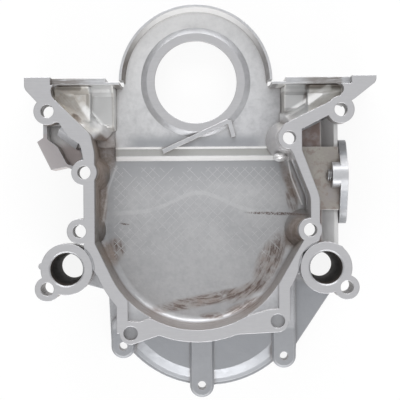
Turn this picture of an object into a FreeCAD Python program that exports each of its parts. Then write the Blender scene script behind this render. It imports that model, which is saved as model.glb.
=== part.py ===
# Timing cover of a small V8 engine: one aluminium casting, lying on its front side.
# Millimetres. Z = 0 is the front plane that it rests on, +Z points at the engine block,
# and the origin is on the crankshaft axis. +Y points at the oil pan.
import FreeCAD, Part
import math
import os

Vec = FreeCAD.Vector
Z_AXIS = Vec(0, 0, 1)
X_AXIS = Vec(1, 0, 0)

# Overall depth and the walls of the casting
COVER_DEPTH = 60.0          # front plane to gasket face
FLANGE_THICK = 10.0         # rim behind the gasket face
RIM_OVERHANG = 3.2          # rim past the wall below it
FLOOR_TOP = 5.5             # inner face of the chest floor
FLOOR_THICK = 4.0
FLOOR_FILLET = 6.0

# Chest: the hollow round the timing chain
CAM_X, CAM_Y = 0.3, -119.6
CHEST_R = 72.5              # round end under the camshaft gear
BAND_WIDTH = 9.1            # gasket face round that end
LEFT_STEP = 4.8             # straight sides past the round end
RIGHT_STEP = 13.9
CHEST_LEFT = CAM_X - CHEST_R - LEFT_STEP
CHEST_RIGHT = CAM_X + CHEST_R + RIGHT_STEP
RAIL_LEFT_WIDTH = 8.3
RAIL_RIGHT_WIDTH = 6.8

# Oil pan side
PAN_LEFT_END = -129.6
PAN_RIGHT_END = 136.8
PAN_LEFT_INNER = -110.0
PAN_RIGHT_INNER = 118.4
PAN_FLANGE_THICK = 5.0
PAN_FLANGE_TOP = 49.0
PAN_BLOCK_DEPTH = 26.0      # thickness of the two end blocks under the gasket face
PAN_BOLT_X = (-73.6, 78.6)
PAN_BOLT_Z = 17.0
PAN_BOSS_R = 9.4
PAN_BOSS_RISE = 8.5         # flat top of each pan boss, above its thread
PAN_BOSS_BEVEL = 2.0
PAN_ROOT = 7.0              # slope between that top and the pan flange
PAN_ROOT_RISE = 11.0
PAN_BOSS_LENGTH = (36.0, 24.0)
PAN_THREAD_R = 3.3
PAN_THREAD_DEPTH = 20.0
PAN_NOTCH_DEPTH = 3.2
PAN_NOTCH_WIDTH = 12.0

# Half round seat of the pan seal
ARC_R = 60.5
ARC_RIM_WIDTH = 2.0
ARC_RIM_TOP = 21.0
ARC_SLOPE = 2.6
ARC_SKIRT = 7.5
ARC_GROOVE_DEPTH = 3.0
ARC_GROOVE_BOTTOM = 4.0
ARC_GROOVE_TOP = 9.2

# Crankshaft seal
SEAL_POCKET_R = 35.0
SEAL_POCKET_DEPTH = 10.0
SEAL_LIP_R = 32.6
SEAL_RING_TOP = 12.4
SEAL_RING_R = 39.0
SEAL_RING_SLOPE = 4.6

# Plate round the seal, with the ledge and ribs below it
PLATE_TOP = 9.8
PLATE_UNDERSIDE = 6.0
PLATE_LEFT = -64.2
PLATE_RIGHT = 67.5
PLATE_END_Y = -51.2
LEDGE_TOP = 8.4
LEDGE_WIDTH = 7.2
LEDGE_SLOPE = 4.0
PLATE_EDGE_SLOPE = 1.6      # from the plate down to the ledge
RIB_WIDTH = 3.4
RIB_TOP = 12.6

# Block bolts: place and boss radius, in pairs down the rail
BOLT_R = 5.0
BOSS_THICK = 19.0
BOLT_1 = (-112.4, -25.7)
BOLT_2 = (CHEST_LEFT - 7.8, -72.2)
BOLT_3 = (CHEST_LEFT - 11.5, -116.8)
BOLT_4 = (109.9, -25.7)
BOLT_5 = (70.8, -46.8)
BOLT_6 = (CHEST_RIGHT - 0.5, -116.8)
CORNER_BOSS_R = 10.3
RAIL_BOSS_R = 9.6
INNER_BOSS_R = 8.6

# Water ports and the lugs beside them
PORT_LEFT = (-98.5, -145.4)
PORT_RIGHT = (98.1, -145.4)
PORT_OUTER_R = 19.6
PORT_MOUTH_R = 12.5
PORT_THROAT_R = 9.6
PORT_MOUTH_DEPTH = 5.0
PORT_CHAMFER = 1.0
PORT_GROOVE_WIDTH = 1.5     # valley between each port's ring and the rail
PORT_GROOVE_DEPTH = 1.2
PORT_NUB_R = 2.8
LUG_LEFT = (-113.2, -160.3)
LUG_RIGHT = (113.6, -160.3)
LUG_R = 9.4
LUG_THICK = 31.0
BLIND_LEFT = (-50.4, -194.2)
BLIND_RIGHT = (61.1, -185.5)
BLIND_R = 5.3
BLIND_DEPTH = 6.0
BLIND_BOSS_R = 8.4
LEG_STRIP_WIDTH = 8.6
LEG_STRIP_SHIFT = (-1.9, 0.9)   # inner edge of each strip, from its blind hole
STRIP_JOIN_X = 29.0         # where the webs of the strips run into the round end
CORNER_POCKET_DEPTH = 4.5
POCKET_JOIN_X = 34.0

# Water pump side: dome plate, ears and front flange
DOME_X, DOME_Y = 8.7, -159.8
DOME_R = 82.0
DOME_TOP = 10.0
DOME_SHOULDER = 6.4
DOME_RIM = 3.0
EAR_LEFT = (-58.9, -209.4)
EAR_CENTRE = (3.4, -240.8)
EAR_RIGHT = (68.6, -217.8)
EAR_R = 9.5
EAR_HOLE_R = 3.3
EAR_TOP = 13.0
LEG_BEVEL = 1.7             # along the top of each leg
LEG_BEVEL_DEPTH = 2.0
PUMP_FACE_WIDTH = 9.0
PUMP_RECESS = 1.5
DOME_RECESS = 4.5
GUSSET_TIP = (107.0, -166.5)
GUSSET_TOP = 8.0

# Fuel pump pad on the side, facing +X
PUMP_FACE_X = 116.4
PUMP_FLANGE_THICK = 5.8
PUMP_Y, PUMP_Z = -80.0, 26.0
PUMP_BOLT_Y = 5.0           # both bolts lie this far to one side of the pad's middle
PUMP_BOLT_Z = 16.0          # and this far above and below it
PUMP_BOLT_BOSS_R = 10.0
PUMP_END_SPAN = 17.6
PUMP_END_R = 15.0
PUMP_THREAD_R = 4.0
PUMP_THREAD_DEPTH = 16.0
PUMP_OPENING_LENGTH = 42.0
PUMP_OPENING_HEIGHT = 19.0
HOUSING_X = 110.0
HOUSING_START_Y = -22.0
HOUSING_END_Y = -132.0
BLOCK_TOP = 39.0
BLOCK_START_Y = -53.0
BLOCK_END_Y = -101.0
HOLLOW_FLOOR = 25.0
HOLLOW_RISE = 9.0
HOLLOW_RISE_X = 98.0

# Corners of the chest, and the wells that clear the bolt heads from the front
CORNER_FLOOR = 9.0
CORNER_SHELF = 33.0         # higher floor outside the pan bolt bosses
BANK_TOP = 43.0             # sloping banks along the rail: height at the rail,
BANK_EDGE = 35.0            # at the far edge of their upper slope,
BANK_FOOT = 4.0             # reach of the steep foot past that edge
BANK_DROP = 12.0            # and how far both heights sink at the narrow end
BANK_LEFT_WIDE = 13.0
BANK_LEFT_NARROW = 9.0
BANK_RIGHT_WIDE = 9.0
BANK_RIGHT_NARROW = 3.5
LUMP_R = 4.8
WELL_R = 7.4
WELL_WALL = 1.8
WELL_FOOT_R = 17.0          # the cups round the wells widen to this at the floor
WELL_REACH = 2.5            # each well opens this far outward
FRONT_WALL = 4.5            # left round the hollows of the front side

# Timing pointer pad on the other side
POINTER_TOP = 40.0
POINTER_FLOOR = 15.0
POINTER_WALL = 3.0
POINTER_SLOPE = 5.0         # sloping facet from the rail down into its hollow
POINTER_SLOPE_DEPTH = 12.0


def rounded(points):
    """A closed wire through points (x, y) or (x, y, corner radius)."""
    corners = [(Vec(p[0], p[1], 0), p[2] if len(p) > 2 else 0.0) for p in points]
    edges = []
    ends = []
    for i, (here, radius) in enumerate(corners):
        before = (corners[i - 1][0] - here).normalize()
        after = (corners[(i + 1) % len(corners)][0] - here).normalize()
        if radius == 0:
            ends.append((here, None, here))
            continue
        half = before.getAngle(after) / 2
        reach = radius / math.tan(half)
        middle = here + (before + after).normalize() * (radius / math.sin(half) - radius)
        ends.append((here + before * reach, middle, here + after * reach))
    for i, (start, middle, stop) in enumerate(ends):
        if middle is not None:
            edges.append(Part.Arc(start, middle, stop).toShape())
        following = ends[(i + 1) % len(ends)][0]
        if stop.distanceToPoint(following) > 1e-6:
            edges.append(Part.LineSegment(stop, following).toShape())
    return Part.Wire(edges)


def prism(wire, bottom, top):
    """A straight block on a flat outline, which may run either way round."""
    face = Part.Face(wire)
    if face.normalAt(0, 0).z < 0:
        face.reverse()
    face.translate(Vec(0, 0, bottom))
    return face.extrude(Vec(0, 0, top - bottom))


def slab(profile, x0, x1):
    """A bar along X with the section profile, given as points (y, z)."""
    face = Part.Face(Part.makePolygon([Vec(x0, y, z) for y, z in profile + profile[:1]]))
    return face.extrude(Vec(x1 - x0, 0, 0))


def loft_bar(start, stop, profiles):
    """A bar on the floor from start to stop, with a section (side, z) at each of its ends."""
    length = math.hypot(stop[0] - start[0], stop[1] - start[1])
    wires = [Part.makePolygon([Vec(x, y, z) for y, z in profile + profile[:1]])
             for x, profile in zip((0.0, length), profiles)]
    solid = Part.makeLoft(wires, True, True)
    solid.rotate(Vec(0, 0, 0), Z_AXIS, math.degrees(math.atan2(stop[1] - start[1], stop[0] - start[0])))
    solid.translate(Vec(start[0], start[1], 0))
    return solid


def cylinder(place, radius, bottom, top):
    return Part.makeCylinder(radius, top - bottom, Vec(place[0], place[1], bottom))


def cone(place, bottom_radius, top_radius, bottom, top):
    return Part.makeCone(bottom_radius, top_radius, top - bottom, Vec(place[0], place[1], bottom))


def box(x0, x1, y0, y1, z0, z1):
    return Part.makeBox(x1 - x0, y1 - y0, z1 - z0, Vec(x0, y0, z0))


def belt(circles):
    """The outline of a tight belt round circles (x, y, r), given counter-clockwise."""
    edges = []
    touches = []
    count = len(circles)
    for i in range(count):
        ax, ay, ar = circles[i]
        bx, by, br = circles[(i + 1) % count]
        span = math.hypot(bx - ax, by - ay)
        heading = math.atan2(by - ay, bx - ax) - math.pi / 2
        lean = heading + math.asin((ar - br) / span)
        out = Vec(math.cos(lean), math.sin(lean), 0)
        touches.append((Vec(ax, ay, 0) + out * ar, Vec(bx, by, 0) + out * br))
    for i in range(count):
        leave, arrive = touches[i]
        edges.append(Part.LineSegment(leave, arrive).toShape())
        cx, cy, radius = circles[(i + 1) % count]
        centre = Vec(cx, cy, 0)
        start = math.atan2(arrive.y - cy, arrive.x - cx)
        stop = math.atan2(touches[(i + 1) % count][0].y - cy, touches[(i + 1) % count][0].x - cx)
        while stop < start:
            stop += 2 * math.pi
        circle = Part.Circle(centre, Z_AXIS, radius)
        edges.append(Part.Arc(circle, start, stop).toShape())
    return Part.Wire(edges)


def fuse(first, *others):
    return first.multiFuse(list(others)) if others else first


def tangent_corner(a, b, centre, radius):
    """Where the lines from a and from b, both touching a circle, cross beyond it."""
    lines = []
    for point, side in ((a, -1), (b, 1)):
        reach = math.hypot(centre[0] - point[0], centre[1] - point[1])
        heading = math.atan2(centre[1] - point[1], centre[0] - point[0])
        heading += side * math.asin(radius / reach)
        lines.append((point, math.cos(heading), math.sin(heading)))
    (p, pc, ps), (q, qc, qs) = lines
    step = ((q[0] - p[0]) * qs - (q[1] - p[1]) * qc) / (pc * qs - ps * qc)
    return p[0] + pc * step, p[1] + ps * step, radius


def chest_outline(top_y):
    """The inside edge of the gasket rail, counter-clockwise from the pan side."""
    left_knee = (CHEST_LEFT, CAM_Y - 6.5)
    right_knee = (CHEST_RIGHT - 5.5, CAM_Y - 5.0)
    return rounded([
        (PAN_LEFT_INNER, top_y, 5.0),
        (PAN_LEFT_INNER + 0.8, BOLT_1[1] + 11.0, FLOOR_FILLET + 2.5),
        (CHEST_LEFT - 3.0, BOLT_5[1] + 3.5, FLOOR_FILLET + 4.0),
        (CHEST_LEFT, BOLT_2[1] + 15.0, 12.0),
        left_knee,
        tangent_corner(left_knee, right_knee, (CAM_X, CAM_Y), CHEST_R),
        right_knee,
        (CHEST_RIGHT, BOLT_6[1] + 6.0, 8.0),
        (CHEST_RIGHT, BOLT_6[1] + 25.0, 20.0),
        (BOLT_5[0] + 2.0, BOLT_5[1] - 10.0, FLOOR_FILLET + 3.0),
        (BOLT_5[0] - INNER_BOSS_R, BOLT_5[1], 5.0),
        (BOLT_5[0] - 4.5, BOLT_5[1] + 10.0, 4.0),
        (BOLT_4[0] - 1.9, BOLT_4[1] + 9.2, FLOOR_FILLET + 1.5),
        (PAN_RIGHT_INNER, top_y, 5.0)])


def rim_outline():
    """The outside edge of the gasket rail, without its bosses."""
    left_edge = CHEST_LEFT - RAIL_LEFT_WIDTH
    right_edge = CHEST_RIGHT + RAIL_RIGHT_WIDTH
    return rounded([
        (PAN_LEFT_END, 0),
        (PAN_LEFT_END, BOLT_1[1] + 17.0, 7.0),
        (BOLT_1[0] - 6.0, BOLT_1[1] + 5.0),
        (BOLT_1[0] + 4.5, BOLT_1[1] - 8.5),
        (BOLT_1[0] + 9.0, BOLT_1[1] - 8.5, 2.0),
        (BOLT_1[0] + 11.5, BOLT_1[1] - 16.5, 4.0),
        (left_edge - 2.5, BOLT_2[1] + 21.5, 6.0),
        (left_edge, BOLT_2[1] + 10.0, 8.0),
        (left_edge, PORT_LEFT[1] + 8.0),
        (CAM_X - 70.0, CAM_Y - 38.0),
        (CAM_X + 70.0, CAM_Y - 38.0),
        (CAM_X + 79.0, CAM_Y - 15.0),
        (right_edge, BOLT_6[1] - 8.0, 5.0),
        (right_edge, BOLT_6[1] + 25.0, 20.0),
        (BOLT_5[0] + 9.5, BOLT_5[1] - 9.5, 5.0),
        (BOLT_5[0] + 9.5, BOLT_5[1] + 6.5, 1.5),
        (BOLT_4[0] - 6.0, BOLT_4[1] - 2.5),
        (BOLT_4[0] + 11.0, BOLT_4[1] + 8.5),
        (PAN_RIGHT_END, BOLT_4[1] + 21.0, 5.0),
        (PAN_RIGHT_END, 0)])


def rail_and_walls():
    """Gasket rim, the thinner wall below it and the chest floor, still filled in."""
    rim_bottom = COVER_DEPTH - FLANGE_THICK
    floor_bottom = FLOOR_TOP - FLOOR_THICK
    band_r = CHEST_R + BAND_WIDTH
    cam = (CAM_X, CAM_Y)
    rim = rim_outline()
    wall = rim.makeOffset2D(-RIM_OVERHANG, join=2)
    solids = [
        prism(rim, rim_bottom, COVER_DEPTH),
        prism(wall, floor_bottom, rim_bottom + 1),
        cylinder(cam, band_r, rim_bottom, COVER_DEPTH),
        cylinder(cam, band_r - RIM_OVERHANG, floor_bottom, rim_bottom + 1),
        box(PAN_LEFT_END, PAN_RIGHT_END, -PAN_FLANGE_THICK, 0, floor_bottom, PAN_FLANGE_TOP),
    ]
    for blind, side, shift in ((BLIND_LEFT, -1, LEG_STRIP_SHIFT[0]), (BLIND_RIGHT, 1, LEG_STRIP_SHIFT[1])):
        band_x = CAM_X + side * STRIP_JOIN_X
        band_y = CAM_Y - math.sqrt((CHEST_R + BAND_WIDTH / 2) ** 2 - STRIP_JOIN_X ** 2)
        inner_x = blind[0] + shift
        outer_x = inner_x + side * LEG_STRIP_WIDTH
        x0, x1 = sorted((inner_x, outer_x))
        join = belt([(blind[0], blind[1], BLIND_BOSS_R), (band_x, band_y, BAND_WIDTH / 2)])
        web = rounded([(inner_x, CAM_Y - 40.0), (inner_x, blind[1]), (band_x, band_y),
                       (band_x, CAM_Y - 60.0)])
        solids += [
            prism(join, rim_bottom - 5, COVER_DEPTH),
            prism(web, rim_bottom - 5, COVER_DEPTH),
            box(x0, x1, blind[1], CAM_Y - 38.0, rim_bottom, COVER_DEPTH),
            box(x0 + 1.5, x1 - 1.5, blind[1], CAM_Y - 42.0, 0, rim_bottom + 1),
            cylinder(blind, BLIND_BOSS_R - 1.5, 0, rim_bottom),
        ]
    return solids


def bolt_bosses():
    bottom = COVER_DEPTH - BOSS_THICK
    sizes = ((BOLT_1, CORNER_BOSS_R), (BOLT_2, RAIL_BOSS_R), (BOLT_3, RAIL_BOSS_R),
             (BOLT_4, CORNER_BOSS_R), (BOLT_5, INNER_BOSS_R), (BOLT_6, RAIL_BOSS_R - 0.6))
    return [cylinder(place, radius, bottom, COVER_DEPTH) for place, radius in sizes]


def ports():
    rim_bottom = COVER_DEPTH - FLANGE_THICK
    solids = []
    for port, lug in ((PORT_LEFT, LUG_LEFT), (PORT_RIGHT, LUG_RIGHT)):
        neck = belt([(port[0], port[1], LUG_R), (lug[0], lug[1], LUG_R - 2)])
        solids += [
            cylinder(port, PORT_OUTER_R, rim_bottom, COVER_DEPTH),
            cylinder(port, PORT_OUTER_R - 2, 0, rim_bottom),
            cylinder(lug, LUG_R, COVER_DEPTH - LUG_THICK, COVER_DEPTH),
            prism(neck, COVER_DEPTH - LUG_THICK, COVER_DEPTH),
        ]
    solids.append(cylinder((PORT_LEFT[0] - PORT_OUTER_R + 1.2, PORT_LEFT[1] + 2.3), PORT_NUB_R,
                           rim_bottom, COVER_DEPTH))
    shoulder = rounded([(CHEST_RIGHT, BOLT_6[1] - 14.0), (PORT_RIGHT[0], PORT_RIGHT[1] - 5.0),
                        (PORT_RIGHT[0] + 17.5, PORT_RIGHT[1] + 5.0),
                        (PORT_RIGHT[0] + 17.5, PORT_RIGHT[1] + 9.0),
                        (HOUSING_X, HOUSING_END_Y + 3.0),
                        (CHEST_RIGHT + 7.0, HOUSING_END_Y + 3.0)])
    tie = belt([(PORT_RIGHT[0], PORT_RIGHT[1], 4.0), (CAM_X + 74.0, PORT_RIGHT[1] - 2.0, 4.0)])
    solids += [prism(shoulder, rim_bottom, COVER_DEPTH), prism(tie, 0, rim_bottom - 8)]
    return solids


def pump_mounting():
    """The flange for the water pump: dome plate, legs, ears and the web on the right."""
    web_y = min(BLIND_LEFT[1], BLIND_RIGHT[1]) - 2.0
    slope = Part.makePolygon([
        Vec(0, 0, 0), Vec(DOME_R, 0, 0), Vec(DOME_R, 0, DOME_RIM),
        Vec(DOME_R - 2, 0, DOME_RIM), Vec(DOME_R - DOME_SHOULDER + 1, 0, DOME_RIM + 3.5),
        Vec(DOME_R - 2 * DOME_SHOULDER, 0, DOME_TOP), Vec(0, 0, DOME_TOP), Vec(0, 0, 0)])
    dome = Part.Face(slope).revolve(Vec(0, 0, 0), Z_AXIS, 360)
    dome.translate(Vec(DOME_X, DOME_Y, 0))
    lower = box(DOME_X - 2 * DOME_R, DOME_X + 2 * DOME_R, DOME_Y - 2 * DOME_R,
                BLIND_RIGHT[1] - 3.0, -1, COVER_DEPTH)
    leg_left_x = EAR_LEFT[0] - EAR_R
    plate = rounded([
        (PORT_LEFT[0], PORT_LEFT[1]), (PORT_LEFT[0] + 12.0, PORT_LEFT[1] - 15.5),
        (leg_left_x - 2.0, PORT_LEFT[1] - 20.0, 5.0), (leg_left_x, EAR_LEFT[1]),
        (EAR_LEFT[0] + EAR_R, EAR_LEFT[1]), (EAR_LEFT[0] + EAR_R, web_y),
        (EAR_RIGHT[0] - EAR_R, web_y), (EAR_RIGHT[0] - EAR_R, EAR_RIGHT[1]),
        (EAR_RIGHT[0] + EAR_R, EAR_RIGHT[1]), (EAR_RIGHT[0] + EAR_R + 0.5, EAR_RIGHT[1] + 9.0),
        (GUSSET_TIP[0], GUSSET_TIP[1], 3.0), (PORT_RIGHT[0], PORT_RIGHT[1])])
    solids = [dome.common(lower), prism(plate, 0, GUSSET_TOP)]
    for ear, top_y in ((EAR_LEFT, BLIND_LEFT[1]), (EAR_CENTRE, CAM_Y - CHEST_R - 2.0),
                       (EAR_RIGHT, CAM_Y - 36.0)):
        strap = belt([(ear[0], ear[1], EAR_R), (ear[0], top_y, EAR_R)])
        crest_r = EAR_R - LEG_BEVEL
        crest = belt([(ear[0], ear[1], crest_r), (ear[0], top_y, crest_r)])
        shoulder = EAR_TOP - LEG_BEVEL_DEPTH
        strap.translate(Vec(0, 0, shoulder))
        crest.translate(Vec(0, 0, EAR_TOP))
        solids.append(Part.makeLoft([strap, crest], True, True))
        strap.translate(Vec(0, 0, -shoulder))
        solids.append(prism(strap, 0, shoulder))
    return solids


def pump_pad_outline():
    return belt([(PUMP_BOLT_Y, PUMP_BOLT_Z, PUMP_BOLT_BOSS_R), (-PUMP_END_SPAN, 0, PUMP_END_R),
                 (PUMP_BOLT_Y, -PUMP_BOLT_Z, PUMP_BOLT_BOSS_R), (PUMP_END_SPAN, 0, PUMP_END_R)])


def on_side(shape):
    """Turns a shape drawn in (Y, Z), with its depth along Z, to stand along X at the pump pad."""
    shape.rotate(Vec(0, 0, 0), X_AXIS, 90)
    shape.rotate(Vec(0, 0, 0), Z_AXIS, 90)
    shape.translate(Vec(0, PUMP_Y, PUMP_Z))
    return shape


def pump_side():
    """The housing that carries the fuel pump: end hollow, middle block and pad."""
    start_x = CHEST_RIGHT - 12.0
    bottom = FLOOR_TOP - FLOOR_THICK
    high = HOLLOW_FLOOR + HOLLOW_RISE

    def section(low, y0, y1):
        points = [(start_x, bottom), (HOUSING_X, bottom), (HOUSING_X, high), (HOUSING_X - 3.0, high),
                  (HOLLOW_RISE_X, low), (start_x, low)]
        face = Part.Face(Part.makePolygon([Vec(x, y1, z) for x, z in points + points[:1]]))
        return face.extrude(Vec(0, y0 - y1, 0))

    block = box(start_x, HOUSING_X, BLOCK_END_Y, BLOCK_START_Y, bottom, BLOCK_TOP)
    neck = box(CHEST_RIGHT, PUMP_FACE_X - 1, PUMP_Y - 22.0, PUMP_Y + 22.0, 2.0, BLOCK_TOP)
    upper = section(HOLLOW_FLOOR, HOUSING_START_Y, BLOCK_START_Y)
    lower = section(high - 3.0, BLOCK_END_Y, HOUSING_END_Y)
    pad = on_side(prism(pump_pad_outline(), PUMP_FACE_X - PUMP_FLANGE_THICK, PUMP_FACE_X))
    boss = on_side(cylinder((PUMP_BOLT_Y, PUMP_BOLT_Z), PUMP_BOLT_BOSS_R,
                            PUMP_FACE_X - 12.0, PUMP_FACE_X))
    front_boss = on_side(cylinder((PUMP_BOLT_Y, -PUMP_BOLT_Z), PUMP_BOLT_BOSS_R,
                                  CHEST_RIGHT + 8.0, PUMP_FACE_X))
    return [block, neck, upper, lower, pad, boss, front_boss]


def pointer_pad():
    x1, y1 = BOLT_1
    outline = rounded([
        (x1 - 5.5, y1), (x1 - 5.5, y1 - 19.0), (x1 - 10.3, y1 - 22.3), (x1 + 0.5, y1 - 44.0),
        (x1 + 12.0, y1 - 41.6), (BOLT_2[0] - 6.0, BOLT_2[1] + 0.5), (BOLT_2[0], BOLT_2[1] + 12.0),
        (x1 + 12.0, y1 - 14.0), (x1 + 6.0, y1)])
    return prism(outline, POINTER_FLOOR - 6.0, POINTER_TOP)


def pointer_hollow():
    x1, y1 = BOLT_1
    wall = POINTER_WALL
    return prism(rounded([
        (x1 - 5.5 + wall, y1 - 9.5), (x1 - 5.5 + wall, y1 - 20.0, 1.5),
        (x1 + 5.5, y1 - 26.0, 8.0), (x1 + 12.8, y1 - 39.5, 1.5),
        (BOLT_2[0] - 8.0, BOLT_2[1] + 5.0, 1.5), (BOLT_2[0] - 2.5, BOLT_2[1] + 13.0, 3.0),
        (BOLT_2[0] - 5.5, BOLT_2[1] + 19.5, 4.0), (x1 + 12.5, y1 - 15.0, 3.0),
        (x1 + 9.0, y1 - 9.5, 1.0)]), POINTER_FLOOR, COVER_DEPTH)


def bank(start, stop, reaches, drops):
    """The sloping bank with a steep foot, inside a diagonal stretch of rail."""
    profiles = [[(-4.0, FLOOR_TOP - 1), (reach + BANK_FOOT, FLOOR_TOP - 1),
                 (reach + BANK_FOOT, CORNER_FLOOR), (reach, BANK_EDGE - drop),
                 (0.0, BANK_TOP - drop), (-4.0, BANK_TOP - drop)]
                for reach, drop in zip(reaches, drops)]
    return loft_bar(start, stop, profiles)


def pan_boss(x, length):
    """The flat boss for a pan bolt, with the slope that joins its top to the pan flange."""
    top = PAN_BOLT_Z + PAN_BOSS_RISE
    bottom = FLOOR_TOP - FLOOR_THICK
    return slab([(0, bottom), (0, top + PAN_ROOT_RISE), (-PAN_FLANGE_THICK, top + PAN_ROOT_RISE),
                 (-PAN_FLANGE_THICK - PAN_ROOT, top), (PAN_BOSS_BEVEL - length, top),
                 (-length, top - PAN_BOSS_BEVEL), (-length, bottom)], x - PAN_BOSS_R, x + PAN_BOSS_R)


def pointer_slope():
    """The facet between the rail and the hollow beside the pointer pad."""
    foot = POINTER_FLOOR + 1.0
    top = COVER_DEPTH - FLANGE_THICK + 5.0
    profile = [(-3.0, foot), (POINTER_SLOPE, foot), (POINTER_SLOPE, top - POINTER_SLOPE_DEPTH),
               (0.0, top), (-3.0, top)]
    return loft_bar((BOLT_2[0] - 4.8, BOLT_2[1] + 22.4), (BOLT_1[0] + 8.4, BOLT_1[1] - 13.5),
                    (profile, profile))


def rib(start, stop):
    half = RIB_WIDTH / 2
    profile = [(-half, PLATE_UNDERSIDE + 1), (half, PLATE_UNDERSIDE + 1), (half, RIB_TOP), (-half, RIB_TOP)]
    return loft_bar(start, stop, (profile, profile))


def seal_plate():
    """The plate round the crankshaft: seal ring, half round pan seat, ledge and ribs."""
    bottom = FLOOR_TOP - FLOOR_THICK
    ledge_y = PLATE_END_Y - LEDGE_WIDTH
    pan_half = box(-ARC_R, ARC_R, -1, ARC_R, -1, COVER_DEPTH)
    rim = cylinder((0, 0), ARC_R, bottom, ARC_RIM_TOP)
    rim = rim.cut(cone((0, 0), ARC_R - ARC_RIM_WIDTH - ARC_SLOPE, ARC_R - ARC_RIM_WIDTH,
                       PLATE_TOP, ARC_RIM_TOP))
    return [
        rim.common(pan_half),
        box(PLATE_LEFT, PLATE_RIGHT, PLATE_END_Y, 0, bottom, PLATE_TOP),
        slab([(ledge_y - LEDGE_SLOPE, bottom), (ledge_y - LEDGE_SLOPE, FLOOR_TOP), (ledge_y, LEDGE_TOP),
              (PLATE_END_Y - PLATE_EDGE_SLOPE, LEDGE_TOP), (PLATE_END_Y, PLATE_TOP),
              (PLATE_END_Y + 1, PLATE_TOP), (PLATE_END_Y + 1, bottom)], PLATE_LEFT, PLATE_RIGHT),
        cylinder((0, 0), SEAL_RING_R + SEAL_RING_SLOPE, 0, PLATE_TOP),
        cone((0, 0), SEAL_RING_R + SEAL_RING_SLOPE, SEAL_RING_R, PLATE_TOP, SEAL_RING_TOP),
        rib((-26.5, PLATE_END_Y - 3.8), (26.0, PLATE_END_Y + 20.2)),
        rib((26.3, PLATE_END_Y + 20.7), (29.8, PLATE_END_Y + 7.7)),
    ]


def inside_forms():
    """What else stands on the chest floor: pan bolt bosses, corner floors, banks and a lump."""
    bottom = FLOOR_TOP - FLOOR_THICK
    return [
        pan_boss(PAN_BOLT_X[0], PAN_BOSS_LENGTH[0]),
        pan_boss(PAN_BOLT_X[1], PAN_BOSS_LENGTH[1]),
        box(PAN_LEFT_INNER, PLATE_LEFT + 1, PLATE_END_Y, 0, bottom, CORNER_FLOOR),
        box(PLATE_RIGHT - 1, PAN_RIGHT_INNER, BOLT_4[1] - 8.0, 0, bottom, CORNER_FLOOR),
        box(PAN_LEFT_INNER, PAN_BOLT_X[0] - PAN_BOSS_R + 1, BOLT_1[1] - 6.0, 0, bottom, CORNER_SHELF),
        box(PAN_BOLT_X[1] + PAN_BOSS_R - 1, PAN_RIGHT_INNER, BOLT_4[1], 0, bottom, CORNER_SHELF),
        bank((BOLT_1[0] - 1.1, BOLT_1[1] + 16.0), (BOLT_2[0] + 5.3, BOLT_2[1] + 25.7),
             (BANK_LEFT_WIDE, BANK_LEFT_NARROW), (0.0, BANK_DROP)),
        bank((BOLT_5[0] + 1.2, BOLT_5[1] + 12.0), (BOLT_4[0] + 10.2, BOLT_4[1] + 15.4),
             (BANK_RIGHT_NARROW, BANK_RIGHT_WIDE), (BANK_DROP, 0.0)),
        Part.makeSphere(LUMP_R, Vec(BOLT_5[0] - 4.0, BOLT_5[1] - 11.2, FLOOR_TOP + 4.0)),
    ]


def wells(envelope):
    """Cups under the rail bolts: their heads sit on the thin bosses, reached from the front."""
    places = (BOLT_1, BOLT_2, BOLT_3, BOLT_4, BOLT_5, BOLT_6)
    floor_bottom = FLOOR_TOP - FLOOR_THICK
    boss_bottom = COVER_DEPTH - BOSS_THICK
    cup_r = WELL_R + WELL_WALL
    cups = []
    for place in (BOLT_2, BOLT_3, BOLT_5, BOLT_6):
        cups.append(cylinder(place, cup_r, floor_bottom, boss_bottom + 1))
        foot = cone(place, WELL_FOOT_R, cup_r, floor_bottom, boss_bottom + 1)
        cups.append(foot.common(envelope))
    cores = []
    for x, y in places:
        outward = math.copysign(WELL_REACH, x)
        near, far = sorted((x, x + outward))
        cores.append(prism(belt([(near, y, WELL_R), (far, y, WELL_R)]), -1, boss_bottom))
    return cups, cores


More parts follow.
